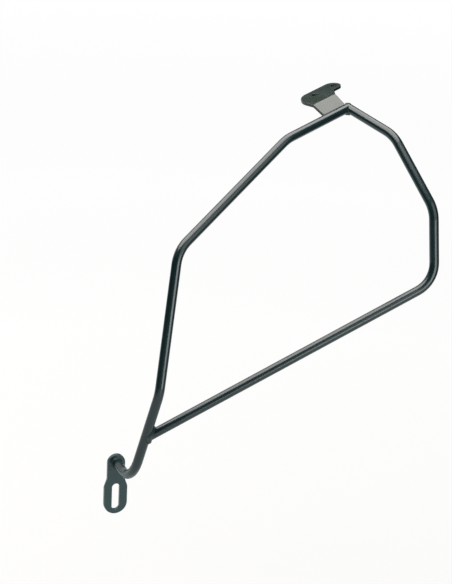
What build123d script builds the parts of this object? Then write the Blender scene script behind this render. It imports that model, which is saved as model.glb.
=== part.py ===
"""Pannier support frame for one side of a motorbike.

Two bent tubes are welded into an open loop, with a slotted lug at the foot and a drilled bracket at the top.
Millimetres. X points to the rear of the bike, Y inwards to the bike and Z up, along the lug's slot.
The origin is the middle of the slot, on the inner face of the lug, which lies against the bike.
"""

import os
from math import cos, radians, sin

from build123d import *

# Tube stock and its bends, measured to the centre line
tube_diameter = 12.0
tube_wall = 1.5
bend_radius = 38.0
gentle_bend_radius = 50.0

# Lower lug: an upright plate with a slot for one bolt
lug_thickness = 5.0
lug_width = 30.5
lug_neck_width = 23.0
lug_foot_drop = 8.4
lug_side_length = 22.0
lug_taper_length = 10.8
lug_taper_radius = 8.0
slot_width = 10.2
slot_length = 36.0

# Front tube: the stub on the lug, then each bend by its way back, out or in, and its height
stub_height = 46.8
stub_reach = 56.8
knee_back = 23.5
knee_out = 86.5
knee_height = 171.0
shoulder_back = 50.5
shoulder_out = 61.5
shoulder_height = 343.0
crest_back = 215.5
crest_in = 8.3
crest_height = 452.4
corner_back = 317.5
corner_in = 50.5
corner_height = 477.0

# Rear tube: from the top corner over the hip and down the tail to the rail
hip_back = 351.5
hip_out = 14.5
hip_height = 455.5
tail_back = 373.5
tail_top_out = 93.0
tail_top_height = 380.5
tail_foot_out = 110.0
tail_foot_height = 292.0
rail_joint_height = 109.5
rail_end_gap = 0.15

# Top bracket: a folded sheet, its web on the tube and its drilled plate above
bracket_sheet = 4.0
fold_radius = 3.0
web_slope = 30.0
web_run = 24.7
web_length = 40.2
web_flare = 2.4
plate_depth = 33.1
plate_corner_radius = 20.0
arm_width = 20.4
arm_corner_radius = 12.3
arm_nose_radius = 7.5
arm_end_margin = 7.9
bolt_hole_diameter = 9.0
bolt_hole_spacing = 36.0
bolt_hole_margin = 12.2
front_hole_ahead = 13.9

# Weld beads
corner_bead_width = 7.6
corner_bead_rise = 0.4
corner_bead_shift_in = 0.3
corner_bead_shift_down = 1.7
corner_bead_bevel = 1.0
corner_bead_flat = 0.6
rail_bead_leg = 2.6
lug_bead_leg = 1.6
bracket_bead_radius = 2.5
bracket_bead_inset = 2.0

tube_radius = tube_diameter / 2
bore_radius = tube_radius - tube_wall

# Bend points of the two centre lines
stub_end = Vector(0, -lug_thickness, stub_height)
ankle = Vector(0, -lug_thickness - stub_reach, stub_height)
knee = Vector(knee_back, -knee_out, knee_height)
shoulder = Vector(shoulder_back, -shoulder_out, shoulder_height)
crest = Vector(crest_back, crest_in, crest_height)
corner = Vector(corner_back, corner_in, corner_height)
hip = Vector(hip_back, -hip_out, hip_height)
tail_top = Vector(tail_back, -tail_top_out, tail_top_height)
tail_foot = Vector(tail_back, -tail_foot_out, tail_foot_height)
leg_run = knee - ankle
rail_joint = ankle + leg_run * ((rail_joint_height - stub_height) / leg_run.Z)
rail_run = rail_joint - tail_foot

# The tubes are cut to a mitre at the top corner
top_direction = (corner - crest).normalized()
hip_direction = (hip - corner).normalized()
mitre_overrun = tube_diameter
mitre_reach = 2 * tube_diameter
mitre_plane = Plane(
    origin=corner,
    x_dir=top_direction - hip_direction,
    z_dir=top_direction + hip_direction,
)
half_turn = radians(top_direction.get_angle(hip_direction) / 2)

# Round bars that fill the straight runs, for cutting what is seated on them
with BuildPart() as leg_bar:
    with BuildSketch(Plane(origin=ankle, z_dir=leg_run)):
        Circle(tube_radius)
    extrude(amount=leg_run.length)

with BuildPart() as rail_bar:
    with BuildSketch(Plane(origin=tail_foot, z_dir=rail_run)):
        Circle(tube_radius)
    extrude(amount=rail_run.length)

with BuildPart() as top_bar:
    with BuildSketch(Plane(origin=crest, z_dir=top_direction)):
        Circle(tube_radius)
    extrude(amount=(corner - crest).length + mitre_overrun)
    split(bisect_by=mitre_plane, keep=Keep.BOTTOM)

with BuildPart() as hip_bar:
    with BuildSketch(Plane(origin=hip, z_dir=-hip_direction)):
        Circle(tube_radius)
    extrude(amount=(hip - corner).length + mitre_overrun)
    split(bisect_by=mitre_plane, keep=Keep.TOP)

# Front tube: stub, leg, rising run and top run
with BuildPart() as front_tube:
    with BuildLine() as front_path:
        FilletPolyline(
            stub_end,
            ankle,
            knee,
            shoulder,
            crest,
            corner + top_direction * mitre_overrun,
            radius=[bend_radius, gentle_bend_radius, bend_radius, gentle_bend_radius],
        )
    with BuildSketch(Plane(front_path.line ^ 0)):
        Circle(tube_radius)
        Circle(bore_radius, mode=Mode.SUBTRACT)
    sweep(path=front_path.line)
    with BuildSketch(mitre_plane):
        Circle(mitre_reach)
    extrude(amount=mitre_reach, mode=Mode.SUBTRACT)

# Rear tube: hip, tail and rail, its end hollowed to sit on the leg
with BuildPart() as rear_tube:
    with BuildLine() as rear_path:
        FilletPolyline(
            corner - hip_direction * mitre_overrun,
            hip,
            tail_top,
            tail_foot,
            rail_joint,
            radius=[gentle_bend_radius, bend_radius, bend_radius],
        )
    with BuildSketch(Plane(rear_path.line ^ 0)):
        Circle(tube_radius)
        Circle(bore_radius, mode=Mode.SUBTRACT)
    sweep(path=rear_path.line)
    with BuildSketch(mitre_plane):
        Circle(mitre_reach)
    extrude(amount=-mitre_reach, mode=Mode.SUBTRACT)
    with BuildSketch(Plane(origin=ankle, z_dir=leg_run)):
        Circle(tube_radius + rail_end_gap)
    extrude(amount=leg_run.length, mode=Mode.SUBTRACT)

# Lower lug: wide round foot around the slot, tapering to a round neck behind the stub
half_width = lug_width / 2
half_neck = lug_neck_width / 2
side_top = lug_side_length - lug_foot_drop
taper_top = side_top + lug_taper_length
with BuildPart() as lower_lug:
    with BuildSketch(Plane.XZ):
        with BuildLine():
            ThreePointArc(
                (-half_width, -lug_foot_drop),
                (0, -lug_foot_drop - half_width),
                (half_width, -lug_foot_drop),
            )
            FilletPolyline(
                (half_width, -lug_foot_drop),
                (half_width, side_top),
                (half_neck, taper_top),
                (half_neck, stub_height),
                radius=lug_taper_radius,
            )
            ThreePointArc(
                (half_neck, stub_height),
                (0, stub_height + half_neck),
                (-half_neck, stub_height),
            )
            FilletPolyline(
                (-half_neck, stub_height),
                (-half_neck, taper_top),
                (-half_width, side_top),
                (-half_width, -lug_foot_drop),
                radius=lug_taper_radius,
            )
        make_face()
        SlotOverall(slot_length, slot_width, rotation=90, mode=Mode.SUBTRACT)
    extrude(amount=lug_thickness)

# Top bracket: the folded section run along the tube, then trimmed to its outline seen from above
inward = Vector(-top_direction.Y, top_direction.X, 0).normalized()
section_plane = Plane(origin=corner, x_dir=inward, z_dir=top_direction)
plan_plane = Plane(origin=corner, x_dir=top_direction, z_dir=top_direction.cross(inward))
fold_in = web_run * cos(radians(web_slope))
fold_up = web_run * sin(radians(web_slope))
plate_edge = fold_in + plate_depth
holes_in = plate_edge - bolt_hole_margin
arm_near = plate_edge - arm_width
arm_flank = arm_near - fold_in
rear_hole_back = bolt_hole_spacing - front_hole_ahead
arm_reach = rear_hole_back + arm_end_margin
bracket_span = web_length + arm_reach + plate_edge
with BuildPart() as top_bracket:
    with BuildSketch(section_plane):
        with BuildLine() as folded_line:
            FilletPolyline(
                (0, 0),
                (fold_in, fold_up),
                (plate_edge + bracket_sheet, fold_up),
                radius=fold_radius + bracket_sheet / 2,
            )
        trace(folded_line.line, line_width=bracket_sheet)
    extrude(amount=bracket_span, both=True)
    with BuildSketch(plan_plane):
        with BuildLine():
            FilletPolyline(
                (arm_flank, arm_near),
                (arm_reach, arm_near),
                (arm_reach, plate_edge),
                (-web_length, plate_edge),
                (-web_length, 0),
                radius=[arm_nose_radius, arm_corner_radius, plate_corner_radius],
            )
            Polyline(
                (-web_length, 0),
                (-web_flare / 2, 0),
                (web_flare / 2, fold_in),
                (arm_flank, arm_near),
            )
        make_face()
        with Locations((-front_hole_ahead, holes_in), (rear_hole_back, holes_in)):
            Circle(bolt_hole_diameter / 2, mode=Mode.SUBTRACT)
    extrude(amount=bracket_span, both=True, mode=Mode.INTERSECT)
    add(top_bar.part, mode=Mode.SUBTRACT)

# Corner weld: a band with bevelled flanks along the seam of the mitre, flush on top and full under the corner
band_half_length = tube_radius / cos(half_turn) + corner_bead_rise
band_half_width = tube_radius + corner_bead_rise
band_plane = Plane(
    origin=mitre_plane.from_local_coords(Vector(-corner_bead_shift_in, -corner_bead_shift_down)),
    x_dir=mitre_plane.x_dir,
    z_dir=mitre_plane.z_dir,
)
with BuildPart() as corner_weld:
    with BuildSketch(band_plane):
        RectangleRounded(2 * band_half_length, 2 * band_half_width, band_half_width - corner_bead_flat / 2)
    extrude(amount=corner_bead_width / 2, both=True)
    across = corner_weld.faces().sort_by(Axis(corner, mitre_plane.z_dir))
    chamfer(across[0].edges() + across[-1].edges(), length=corner_bead_bevel)
    add(top_bar.part, mode=Mode.SUBTRACT)
    add(hip_bar.part, mode=Mode.SUBTRACT)

# Rail weld: fills the seam between the leg and the rail on all sides
bead_radius = tube_radius + rail_bead_leg
with BuildPart() as rail_weld:
    with BuildSketch(Plane(origin=tail_foot, z_dir=rail_run)):
        Circle(bead_radius)
    extrude(amount=rail_run.length)
    with BuildSketch(Plane(origin=ankle, z_dir=leg_run)):
        Circle(bead_radius)
    extrude(amount=leg_run.length, mode=Mode.INTERSECT)
    add(leg_bar.part, mode=Mode.SUBTRACT)
    add(rail_bar.part, mode=Mode.SUBTRACT)

# Lug weld: a fillet turned about the stub
with BuildPart() as lug_weld:
    with BuildSketch(Plane(origin=stub_end, x_dir=(1, 0, 0), z_dir=(0, 0, -1))):
        with BuildLine():
            Polyline(
                (tube_radius, 0),
                (tube_radius + lug_bead_leg, 0),
                (tube_radius, lug_bead_leg),
                close=True,
            )
        make_face()
    revolve(axis=Axis(stub_end, (0, 1, 0)))

# Bracket weld: a bead under the web, along the tube
web_seat = (tube_radius**2 - (bracket_sheet / 2) ** 2) ** 0.5
bead_in = web_seat * cos(radians(web_slope)) + bracket_sheet / 2 * sin(radians(web_slope))
bead_up = web_seat * sin(radians(web_slope)) - bracket_sheet / 2 * cos(radians(web_slope))
with BuildPart() as bracket_weld:
    with BuildSketch(section_plane.offset(-web_length + bracket_bead_inset)):
        with Locations((bead_in, bead_up)):
            Circle(bracket_bead_radius)
    extrude(amount=web_length - 2 * bracket_bead_inset)
    add(top_bar.part, mode=Mode.SUBTRACT)
    add(top_bracket.part, mode=Mode.SUBTRACT)

pieces = {
    "front_tube": front_tube,
    "rear_tube": rear_tube,
    "lower_lug": lower_lug,
    "top_bracket": top_bracket,
    "corner_weld": corner_weld,
    "rail_weld": rail_weld,
    "lug_weld": lug_weld,
    "bracket_weld": bracket_weld,
}
os.makedirs("parts", exist_ok=True)
for name, piece in pieces.items():
    piece.part.label = name
    export_step(piece.part, f"parts/{name}.step")
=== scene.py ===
"""Looks of the pannier frame: a satin dark coat over its tubes, slotted lug, folded bracket and welds."""

from math import radians

import bmesh
import bpy
from mathutils import Matrix, Vector


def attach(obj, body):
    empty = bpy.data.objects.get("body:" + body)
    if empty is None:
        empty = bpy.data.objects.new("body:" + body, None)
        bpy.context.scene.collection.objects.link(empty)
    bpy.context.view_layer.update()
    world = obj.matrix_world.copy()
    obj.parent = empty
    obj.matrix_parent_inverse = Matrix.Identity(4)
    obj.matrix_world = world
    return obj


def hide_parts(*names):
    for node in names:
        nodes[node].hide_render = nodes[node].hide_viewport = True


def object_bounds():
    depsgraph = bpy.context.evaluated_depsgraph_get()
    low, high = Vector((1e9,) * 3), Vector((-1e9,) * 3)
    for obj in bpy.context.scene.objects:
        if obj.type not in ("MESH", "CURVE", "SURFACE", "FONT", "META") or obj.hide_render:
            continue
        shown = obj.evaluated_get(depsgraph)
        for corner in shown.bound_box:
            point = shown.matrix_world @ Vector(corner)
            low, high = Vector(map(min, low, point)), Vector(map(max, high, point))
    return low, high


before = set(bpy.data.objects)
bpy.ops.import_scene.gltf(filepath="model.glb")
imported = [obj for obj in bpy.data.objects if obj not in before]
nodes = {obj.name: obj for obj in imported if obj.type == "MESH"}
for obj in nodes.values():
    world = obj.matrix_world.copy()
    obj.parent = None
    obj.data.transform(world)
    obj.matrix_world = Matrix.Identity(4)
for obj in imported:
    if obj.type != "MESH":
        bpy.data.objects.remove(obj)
cad_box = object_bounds()

# The picture's own view, in the part's frame
photo_height = 584
focal_length_px = 1800
sensor_width = 36
view_from = Vector((-0.6798, -1.9604, 1.0133))
view_ahead = Vector((0.36383, 0.86971, -0.33351)).normalized()
view_right = Vector((0.92759, -0.37092, 0.04465)).normalized()

# The coat, with its patterns in waves per metre
drift_waves = 14
drift_detail = 3
gloss_waves = 60
gloss_detail = 4
peel_waves = 1100
peel_detail = 2
ripple_waves = 380
ripple_smoothness = 0.4
noise_low = 0.3
noise_high = 0.7
coat_shine = 0.6

# The plates' rounded edges
edge_radius = 0.0006
edge_segments = 3
sharp_angle = radians(40)
flat_angle = radians(1)
merge_distance = 0.000002
flat_face_weight = 100

# The studio floor, whose glow grows with the distance from the part, as a share of the floor's radius
floor_drop = 0.40
floor_radius = 14.0
floor_segments = 96
floor_grey = 0.2
floor_glow = [(0.04, 0.72), (0.08, 0.79), (0.12, 0.86), (0.2, 0.935), (0.4, 0.985), (1.0, 1.0)]

# The roll of paper that the coat mirrors in the floor, which fades at its sides and its far end
surround_grey = 0.04
paper_half_width = 2.15
paper_shift = -0.85
paper_sides = [(0.42, 1.0), (0.58, surround_grey)]
paper_end = [(0.6, 1.0), (1.0, surround_grey)]
mirrored_tint = (0.86, 1.0, 1.0)

# The white backdrop that the coat mirrors behind the part
white = (1.0, 1.0, 1.0)
backdrop_side = Vector((-0.2, 0.98, 0))
backdrop_edge = [(0.76, 0.0), (0.86, 1.0)]
backdrop_top = [(0.60, 1.0), (0.70, 0.0)]

# The lamps, placed from the part's middle
straight_down = Vector((0, 0, -1))
overhead_place = Vector((-0.31, 0.30, 1.30))
side_place = Vector((0.55, -1.82, -0.05))
front_place = Vector((0.55, -1.55, 1.15))
fill_place = Vector((1.30, -1.25, 0.15))
warm_white = (1.0, 0.965, 0.93)
cool_white = (0.96, 1.0, 1.0)
cooler_white = (0.93, 1.0, 1.0)

lowest, highest = (Vector(corner) for corner in cad_box)
middle = (lowest + highest) / 2
floor_height = lowest.z - floor_drop
across_paper = Vector((view_right.x, view_right.y, 0)).normalized()


def new_material(name):
    """An empty node material with its output and one Principled shader."""
    material = bpy.data.materials.new(name)
    material.use_nodes = True
    tree = material.node_tree
    tree.nodes.clear()
    output = tree.nodes.new("ShaderNodeOutputMaterial")
    shader = tree.nodes.new("ShaderNodeBsdfPrincipled")
    tree.links.new(shader.outputs["BSDF"], output.inputs["Surface"])
    return material, tree, shader


def add_noise(tree, coordinates, waves, detail):
    """A noise pattern on the object's own coordinates."""
    noise = tree.nodes.new("ShaderNodeTexNoise")
    noise.inputs["Scale"].default_value = waves
    noise.inputs["Detail"].default_value = detail
    tree.links.new(coordinates, noise.inputs["Vector"])
    return noise.outputs["Fac"]


def add_ramp(tree, factor, stops):
    """A colour ramp with the given places and colours."""
    ramp = tree.nodes.new("ShaderNodeValToRGB")
    elements = ramp.color_ramp.elements
    while len(elements) < len(stops):
        elements.new(0.5)
    for element, (place, colour) in zip(elements, stops):
        element.position = place
        element.color = (*colour, 1.0)
    tree.links.new(factor, ramp.inputs["Fac"])
    return ramp.outputs["Color"]


def add_grey_ramp(tree, factor, levels):
    """A ramp of plain greys."""
    return add_ramp(tree, factor, [(place, (level, level, level)) for place, level in levels])


def add_range(tree, value, lowest_value, highest_value):
    """Spreads the middle of a noise over a range of values."""
    spread = tree.nodes.new("ShaderNodeMapRange")
    spread.inputs["From Min"].default_value = noise_low
    spread.inputs["From Max"].default_value = noise_high
    spread.inputs["To Min"].default_value = lowest_value
    spread.inputs["To Max"].default_value = highest_value
    tree.links.new(value, spread.inputs["Value"])
    return spread.outputs["Result"]


def add_math(tree, operation, first, second=0.0):
    """A calculation on one or two values, of which the second may be a plain number."""
    node = tree.nodes.new("ShaderNodeMath")
    node.operation = operation
    tree.links.new(first, node.inputs[0])
    if isinstance(second, (int, float)):
        node.inputs[1].default_value = second
    else:
        tree.links.new(second, node.inputs[1])
    return node.outputs["Value"]


def add_vector_math(tree, operation, vector, other):
    """A calculation on a vector and a fixed one, which gives a plain number."""
    node = tree.nodes.new("ShaderNodeVectorMath")
    node.operation = operation
    tree.links.new(vector, node.inputs[0])
    node.inputs[1].default_value = other
    return node.outputs["Value"]


def add_bump(tree, height, depth):
    """A bump of the given depth in metres."""
    bump = tree.nodes.new("ShaderNodeBump")
    bump.inputs["Strength"].default_value = 1.0
    bump.inputs["Distance"].default_value = depth
    tree.links.new(height, bump.inputs["Height"])
    return bump


def add_ripples(tree, coordinates):
    """The overlapping scales of a weld run."""
    cells = tree.nodes.new("ShaderNodeTexVoronoi")
    cells.feature = "SMOOTH_F1"
    cells.inputs["Scale"].default_value = ripple_waves
    cells.inputs["Smoothness"].default_value = ripple_smoothness
    tree.links.new(coordinates, cells.inputs["Vector"])
    return cells.outputs["Distance"]


def satin_coat(name, dark, light, smoothest, roughest, peel_depth, ripple_depth=0.0):
    """Baked powder coat: a drift of tone, uneven gloss and a fine orange peel, over any weld ripples."""
    material, tree, shader = new_material(name)
    coordinates = tree.nodes.new("ShaderNodeTexCoord").outputs["Object"]
    drift = add_noise(tree, coordinates, drift_waves, drift_detail)
    tone = add_ramp(tree, drift, [(noise_low, dark), (noise_high, light)])
    tree.links.new(tone, shader.inputs["Base Color"])
    gloss = add_noise(tree, coordinates, gloss_waves, gloss_detail)
    tree.links.new(add_range(tree, gloss, smoothest, roughest), shader.inputs["Roughness"])
    peel = add_bump(tree, add_noise(tree, coordinates, peel_waves, peel_detail), peel_depth)
    tree.links.new(peel.outputs["Normal"], shader.inputs["Normal"])
    if ripple_depth:
        ripples = add_bump(tree, add_ripples(tree, coordinates), ripple_depth)
        tree.links.new(ripples.outputs["Normal"], peel.inputs["Normal"])
    shader.inputs["Specular IOR Level"].default_value = coat_shine
    return material


def paper_white(name):
    """Studio paper: matt, white where it is seen, and mirrored by the part as a roll with dark sides."""
    material, tree, shader = new_material(name)
    shader.inputs["Base Color"].default_value = (floor_grey, floor_grey, floor_grey, 1.0)
    shader.inputs["Roughness"].default_value = 1.0
    shader.inputs["Specular IOR Level"].default_value = 0.0
    rays = tree.nodes.new("ShaderNodeLightPath").outputs
    coordinates = tree.nodes.new("ShaderNodeTexCoord").outputs["Object"]
    below_part = (middle.x, middle.y, floor_height)
    reach = add_vector_math(tree, "DISTANCE", coordinates, below_part)
    reach = add_math(tree, "DIVIDE", reach, floor_radius)
    paper_line = middle.dot(across_paper) + paper_shift
    aside = add_vector_math(tree, "DOT_PRODUCT", coordinates, across_paper)
    aside = add_math(tree, "ABSOLUTE", add_math(tree, "SUBTRACT", aside, paper_line))
    aside = add_math(tree, "DIVIDE", aside, 2 * paper_half_width)
    roll = add_math(
        tree, "MULTIPLY", add_grey_ramp(tree, aside, paper_sides), add_grey_ramp(tree, reach, paper_end)
    )
    mirrored = add_math(tree, "MULTIPLY", rays["Is Glossy Ray"], roll)
    seen = add_math(tree, "MAXIMUM", rays["Is Camera Ray"], rays["Is Transmission Ray"])
    shown = add_math(tree, "MAXIMUM", seen, mirrored)
    glow = add_math(tree, "MULTIPLY", shown, add_grey_ramp(tree, reach, floor_glow))
    tint = add_ramp(tree, rays["Is Glossy Ray"], [(0.0, white), (1.0, mirrored_tint)])
    tree.links.new(tint, shader.inputs["Emission Color"])
    tree.links.new(glow, shader.inputs["Emission Strength"])
    return material


def finish_piece(bm, name, material):
    """Turns a bmesh into a named object at the origin, with its material."""
    mesh = bpy.data.meshes.new(name)
    bm.to_mesh(mesh)
    bm.free()
    mesh.materials.append(material)
    piece = bpy.data.objects.new(name, mesh)
    bpy.context.scene.collection.objects.link(piece)
    return piece


def round_plate(name, node, material):
    """A cut plate with its sharp edges rounded, as the coat leaves them."""
    bm = bmesh.new()
    bm.from_mesh(nodes[node].data)
    bmesh.ops.remove_doubles(bm, verts=bm.verts, dist=merge_distance)
    bmesh.ops.dissolve_limit(bm, angle_limit=flat_angle, verts=bm.verts, edges=bm.edges)
    bmesh.ops.bevel(
        bm,
        geom=[edge for edge in bm.edges if edge.calc_face_angle(0.0) > sharp_angle],
        affect="EDGES",
        offset=edge_radius,
        segments=edge_segments,
        profile=0.5,
        material=-1,
        clamp_overlap=True,
    )
    for face in bm.faces:
        face.smooth = True
    plate = finish_piece(bm, name, material)
    plate.modifiers.new("even_light", "WEIGHTED_NORMAL").weight = flat_face_weight
    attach(plate, "root")
    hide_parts(node)


def lay_floor(material):
    """A wide round floor below the part."""
    bm = bmesh.new()
    place = Matrix.Translation((middle.x, middle.y, floor_height))
    bmesh.ops.create_circle(bm, cap_ends=True, segments=floor_segments, radius=floor_radius, matrix=place)
    finish_piece(bm, "studio_floor", material)


def hang_lamp(name, shape, place, towards, width, height, colour, power):
    """A soft lamp of the given shape that faces a direction."""
    lamp = bpy.data.lights.new(name, "AREA")
    lamp.shape = shape
    lamp.size = width
    lamp.size_y = height
    lamp.color = colour
    lamp.energy = power
    holder = bpy.data.objects.new(name, lamp)
    bpy.context.scene.collection.objects.link(holder)
    turn = towards.to_track_quat("-Z", "Y").to_matrix()
    holder.matrix_world = Matrix.Translation(middle + place) @ turn.to_4x4()


def set_world():
    """A dim surround, seen as white, in which the part mirrors the white backdrop behind it."""
    world = bpy.data.worlds.new("surround")
    bpy.context.scene.world = world
    world.use_nodes = True
    tree = world.node_tree
    rays = tree.nodes.new("ShaderNodeLightPath").outputs
    direction = tree.nodes.new("ShaderNodeTexCoord").outputs["Generated"]
    backwards = add_vector_math(tree, "DOT_PRODUCT", direction, backdrop_side)
    behind = add_grey_ramp(tree, backwards, backdrop_edge)
    upwards = add_vector_math(tree, "DOT_PRODUCT", direction, -straight_down)
    below_top = add_grey_ramp(tree, upwards, backdrop_top)
    backdrop = add_math(tree, "MULTIPLY", behind, below_top)
    mirrored = add_math(tree, "MULTIPLY", backdrop, rays["Is Glossy Ray"])
    level = add_math(tree, "ADD", mirrored, surround_grey)
    level = add_math(tree, "MAXIMUM", level, rays["Is Camera Ray"])
    background = tree.nodes["Background"]
    background.inputs["Color"].default_value = (*white, 1.0)
    tree.links.new(level, background.inputs["Strength"])


def set_camera():
    """The camera, at the picture's place and angle."""
    data = bpy.data.cameras.new("camera")
    data.sensor_width = sensor_width
    data.lens = sensor_width * focal_length_px / photo_height
    camera = bpy.data.objects.new("camera", data)
    bpy.context.scene.collection.objects.link(camera)
    turn = Matrix((view_right, view_right.cross(view_ahead), -view_ahead)).transposed()
    camera.matrix_world = Matrix.Translation(view_from) @ turn.to_4x4()
    bpy.context.scene.camera = camera


# The finish of every piece
tube_coat = satin_coat(
    "tube_coat",
    dark=(0.002, 0.011, 0.013),
    light=(0.004, 0.017, 0.019),
    smoothest=0.22,
    roughest=0.27,
    peel_depth=0.00001,
)
# Painted light: the lug's coat is a lighter copy of the tubes' coat, standing in for the light that falls
# on the lug's broad face.
lug_coat_painted_light = satin_coat(
    "lug_coat_painted_light",
    dark=(0.009, 0.036, 0.040),
    light=(0.013, 0.046, 0.050),
    smoothest=0.24,
    roughest=0.29,
    peel_depth=0.00001,
)
bracket_coat = satin_coat(
    "bracket_coat",
    dark=(0.005, 0.013, 0.010),
    light=(0.009, 0.019, 0.015),
    smoothest=0.22,
    roughest=0.27,
    peel_depth=0.000006,
)
bead_coat = satin_coat(
    "bead_coat",
    dark=(0.003, 0.013, 0.015),
    light=(0.006, 0.020, 0.022),
    smoothest=0.45,
    roughest=0.55,
    peel_depth=0.00001,
    ripple_depth=0.0003,
)
for tube in ("front_tube", "rear_tube"):
    nodes[tube].data.materials[0] = tube_coat
for bead in ("corner_weld", "rail_weld", "lug_weld", "bracket_weld"):
    nodes[bead].data.materials[0] = bead_coat
nodes["lower_lug"].data.materials[0] = lug_coat_painted_light
nodes["top_bracket"].data.materials[0] = bracket_coat
round_plate("lug_plate", "lower_lug", lug_coat_painted_light)
round_plate("bracket_plate", "top_bracket", bracket_coat)

# The studio around it
lay_floor(paper_white("studio_paper"))
hang_lamp("overhead_lamp", "ELLIPSE", overhead_place, straight_down, 2.45, 1.7, warm_white, 58.5)
hang_lamp("side_lamp", "RECTANGLE", side_place, -side_place, 1.2, 0.8, cooler_white, 14)
hang_lamp("front_lamp", "RECTANGLE", front_place, -front_place, 1.9, 1.4, cool_white, 13)
hang_lamp("fill_lamp", "RECTANGLE", fill_place, -fill_place, 0.55, 1.0, cool_white, 1.6)
set_world()
set_camera()
bpy.context.scene.view_settings.view_transform = "Standard"
